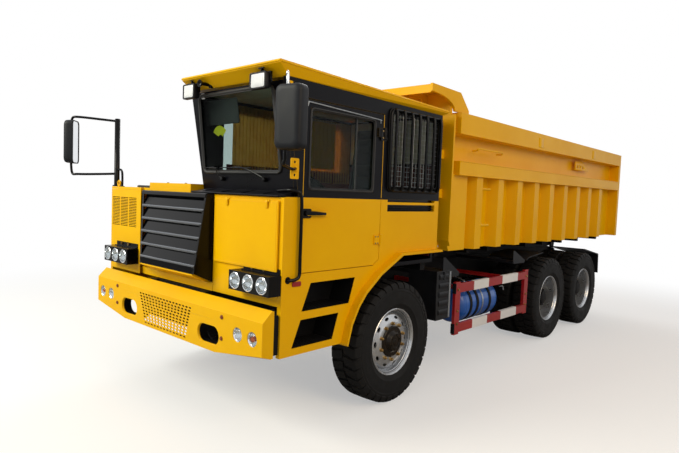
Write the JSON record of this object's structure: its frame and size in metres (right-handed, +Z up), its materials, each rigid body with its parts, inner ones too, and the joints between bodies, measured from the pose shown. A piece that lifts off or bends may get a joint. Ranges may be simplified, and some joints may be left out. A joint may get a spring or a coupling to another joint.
{
  "type": "mining dump truck",
  "caption": "Three-axle mining dump truck with an offset cab, rear-tipping open load bed, hinged tailgate, steered front wheels and twin rear wheels.",
  "frame": {"origin": "on the ground, at the middle of the whole truck's length and width", "axes": "+X towards the truck's left side, +Y towards its rear, +Z up; the cab faces -Y"},
  "size_m": [3.32, 8.34, 2.993],
  "materials": {
    "yellow_paint": "warm yellow gloss enamel on steel plate",
    "black_paint": "gloss black enamel on sheet steel",
    "chassis_black": "satin black chassis paint",
    "tyre_rubber": "matt carbon black rubber",
    "window_glass": "clear toughened glass with a faint green tint",
    "hard_chrome": "ground hard chrome",
    "black_plastic": "grained moulded plastic",
    "seat_fabric": "woven dark seat cloth",
    "red_paint": "red enamel with white bands",
    "blue_paint": "blue enamel",
    "wheel_silver": "silver wheel enamel",
    "zinc_bolts": "yellow-passivated zinc on nuts and bolts",
    "silvered_glass": "silvered mirror pane and lamp reflectors",
    "lamp_lens": "clear or frosted lamp lens",
    "white_paint": "white enamel band",
    "engine_iron": "bare cast iron"
  },
  "bodies": {
    "chassis": {"front_bumper": "yellow_paint", "hood_front": "yellow_paint", "hood_top": "yellow_paint", "hood_side": "yellow_paint", "cab_side_left": "yellow_paint", "cab_front": "yellow_paint", "cab_roof": "yellow_paint", "grille": "black_paint", "headlamp_left": "black_paint", "headlamp_right": "black_paint", "cab_side_right": "black_paint", "windscreen_frame": "black_paint", "cab_rear": "black_paint", "cab_floor": "black_paint", "window_guard": "black_paint", "radiator": "black_paint", "chassis_frame": "chassis_black", "front_axle": "chassis_black", "rear_axle_1": "chassis_black", "rear_axle_2": "chassis_black", "rear_suspension": "chassis_black", "fuel_tank": "chassis_black", "windscreen": "window_glass", "side_glass_left": "window_glass", "side_glass_right": "window_glass", "mirror_left": "black_plastic", "mirror_right": "black_plastic", "dashboard": "black_plastic", "steering_wheel": "black_plastic", "seat_base": "black_plastic", "battery_box": "black_plastic", "tool_box": "black_plastic", "seat_cushion": "seat_fabric", "seat_backrest": "seat_fabric", "side_guard_left": "red_paint", "side_guard_right": "red_paint", "air_tank": "blue_paint", "engine": "engine_iron"},
    "front_wheel_left": {"front_wheel_left": "tyre_rubber"},
    "front_wheel_right": {"front_wheel_right": "tyre_rubber"},
    "rear_wheels_1_left": {"rear_wheels_1_left": "tyre_rubber"},
    "rear_wheels_1_right": {"rear_wheels_1_right": "tyre_rubber"},
    "rear_wheels_2_left": {"rear_wheels_2_left": "tyre_rubber"},
    "rear_wheels_2_right": {"rear_wheels_2_right": "tyre_rubber"},
    "steering_left": {"steering_knuckle_left": "chassis_black"},
    "steering_right": {"steering_knuckle_right": "chassis_black"},
    "bed": {"bed_floor": "yellow_paint", "bed_subframe": "chassis_black", "bed_side_left": "yellow_paint", "bed_side_right": "yellow_paint", "bed_front": "yellow_paint"},
    "tailgate": {"tailgate": "yellow_paint"},
    "door": {"door": "yellow_paint", "door_glass": "window_glass"},
    "front_hatch": {"front_hatch": "yellow_paint"},
    "hoist_barrel": {"hoist_barrel": "chassis_black"},
    "hoist_stage_1": {"hoist_stage_1": "hard_chrome"},
    "hoist_stage_2": {"hoist_stage_2": "hard_chrome"},
    "hoist_rod": {"hoist_rod": "hard_chrome"}
  },
  "joints": [
    {"name": "left_steer", "type": "hinge", "parent": "chassis", "child": "steering_left", "pos_m": [0.9, -2.29, 0.561], "axis": [0, 0, 1], "range_deg": [-32, 32]},
    {"name": "left_front_roll", "type": "hinge", "parent": "steering_left", "child": "front_wheel_left", "pos_m": [1.14, -2.29, 0.561], "axis": [1, 0, 0], "continuous": true},
    {"name": "left_rear_1_roll", "type": "hinge", "parent": "chassis", "child": "rear_wheels_1_left", "pos_m": [0.99, 1.26, 0.561], "axis": [1, 0, 0], "continuous": true},
    {"name": "left_rear_2_roll", "type": "hinge", "parent": "chassis", "child": "rear_wheels_2_left", "pos_m": [0.99, 2.61, 0.561], "axis": [1, 0, 0], "continuous": true},
    {"name": "right_steer", "type": "hinge", "parent": "chassis", "child": "steering_right", "pos_m": [-0.9, -2.29, 0.561], "axis": [0, 0, 1], "range_deg": [-32, 32]},
    {"name": "right_front_roll", "type": "hinge", "parent": "steering_right", "child": "front_wheel_right", "pos_m": [-1.14, -2.29, 0.561], "axis": [1, 0, 0], "continuous": true},
    {"name": "right_rear_1_roll", "type": "hinge", "parent": "chassis", "child": "rear_wheels_1_right", "pos_m": [-0.99, 1.26, 0.561], "axis": [1, 0, 0], "continuous": true},
    {"name": "right_rear_2_roll", "type": "hinge", "parent": "chassis", "child": "rear_wheels_2_right", "pos_m": [-0.99, 2.61, 0.561], "axis": [1, 0, 0], "continuous": true},
    {"name": "bed_tip", "type": "hinge", "parent": "chassis", "child": "bed", "pos_m": [0, 3.43, 1.05], "axis": [-1, 0, 0], "range_deg": [0, 42]},
    {"name": "tailgate_swing", "type": "hinge", "parent": "bed", "child": "tailgate", "pos_m": [0, 4.105, 2.672], "axis": [1, 0, 0], "range_deg": [0, 60]},
    {"name": "door_swing", "type": "hinge", "parent": "chassis", "child": "door", "pos_m": [1.32, -2.615, 1.93], "axis": [0, 0, 1], "range_deg": [0, 70]},
    {"name": "hatch_lift", "type": "hinge", "parent": "chassis", "child": "front_hatch", "pos_m": [0.87, -3.747, 1.834], "axis": [-1, 0, 0], "range_deg": [0, 75]},
    {"name": "hoist_lean", "type": "hinge", "parent": "chassis", "child": "hoist_barrel", "pos_m": [0, 0.33, 0.4], "axis": [-1, 0, 0], "range_deg": [0, 13.03]},
    {"name": "hoist_slide_1", "type": "slide", "parent": "hoist_barrel", "child": "hoist_stage_1", "axis": [0, 0.1168, 0.9932], "range_m": [0, 0.7092]},
    {"name": "hoist_slide_2", "type": "slide", "parent": "hoist_stage_1", "child": "hoist_stage_2", "axis": [0, 0.1168, 0.9932], "range_m": [0, 0.7092]},
    {"name": "hoist_slide_3", "type": "slide", "parent": "hoist_stage_2", "child": "hoist_rod", "axis": [0, 0.1168, 0.9932], "range_m": [0, 0.7092]}
  ],
  "couplings": [
    {"joint": "right_steer", "follows": "left_steer", "ratio": 1},
    {"joint": "hoist_lean", "follows": "bed_tip", "ratio": 0.30916},
    {"joint": "hoist_slide_1", "follows": "bed_tip", "m_per_rad": 0.96607},
    {"joint": "hoist_slide_2", "follows": "bed_tip", "m_per_rad": 0.96607},
    {"joint": "hoist_slide_3", "follows": "bed_tip", "m_per_rad": 0.96607}
  ]
}
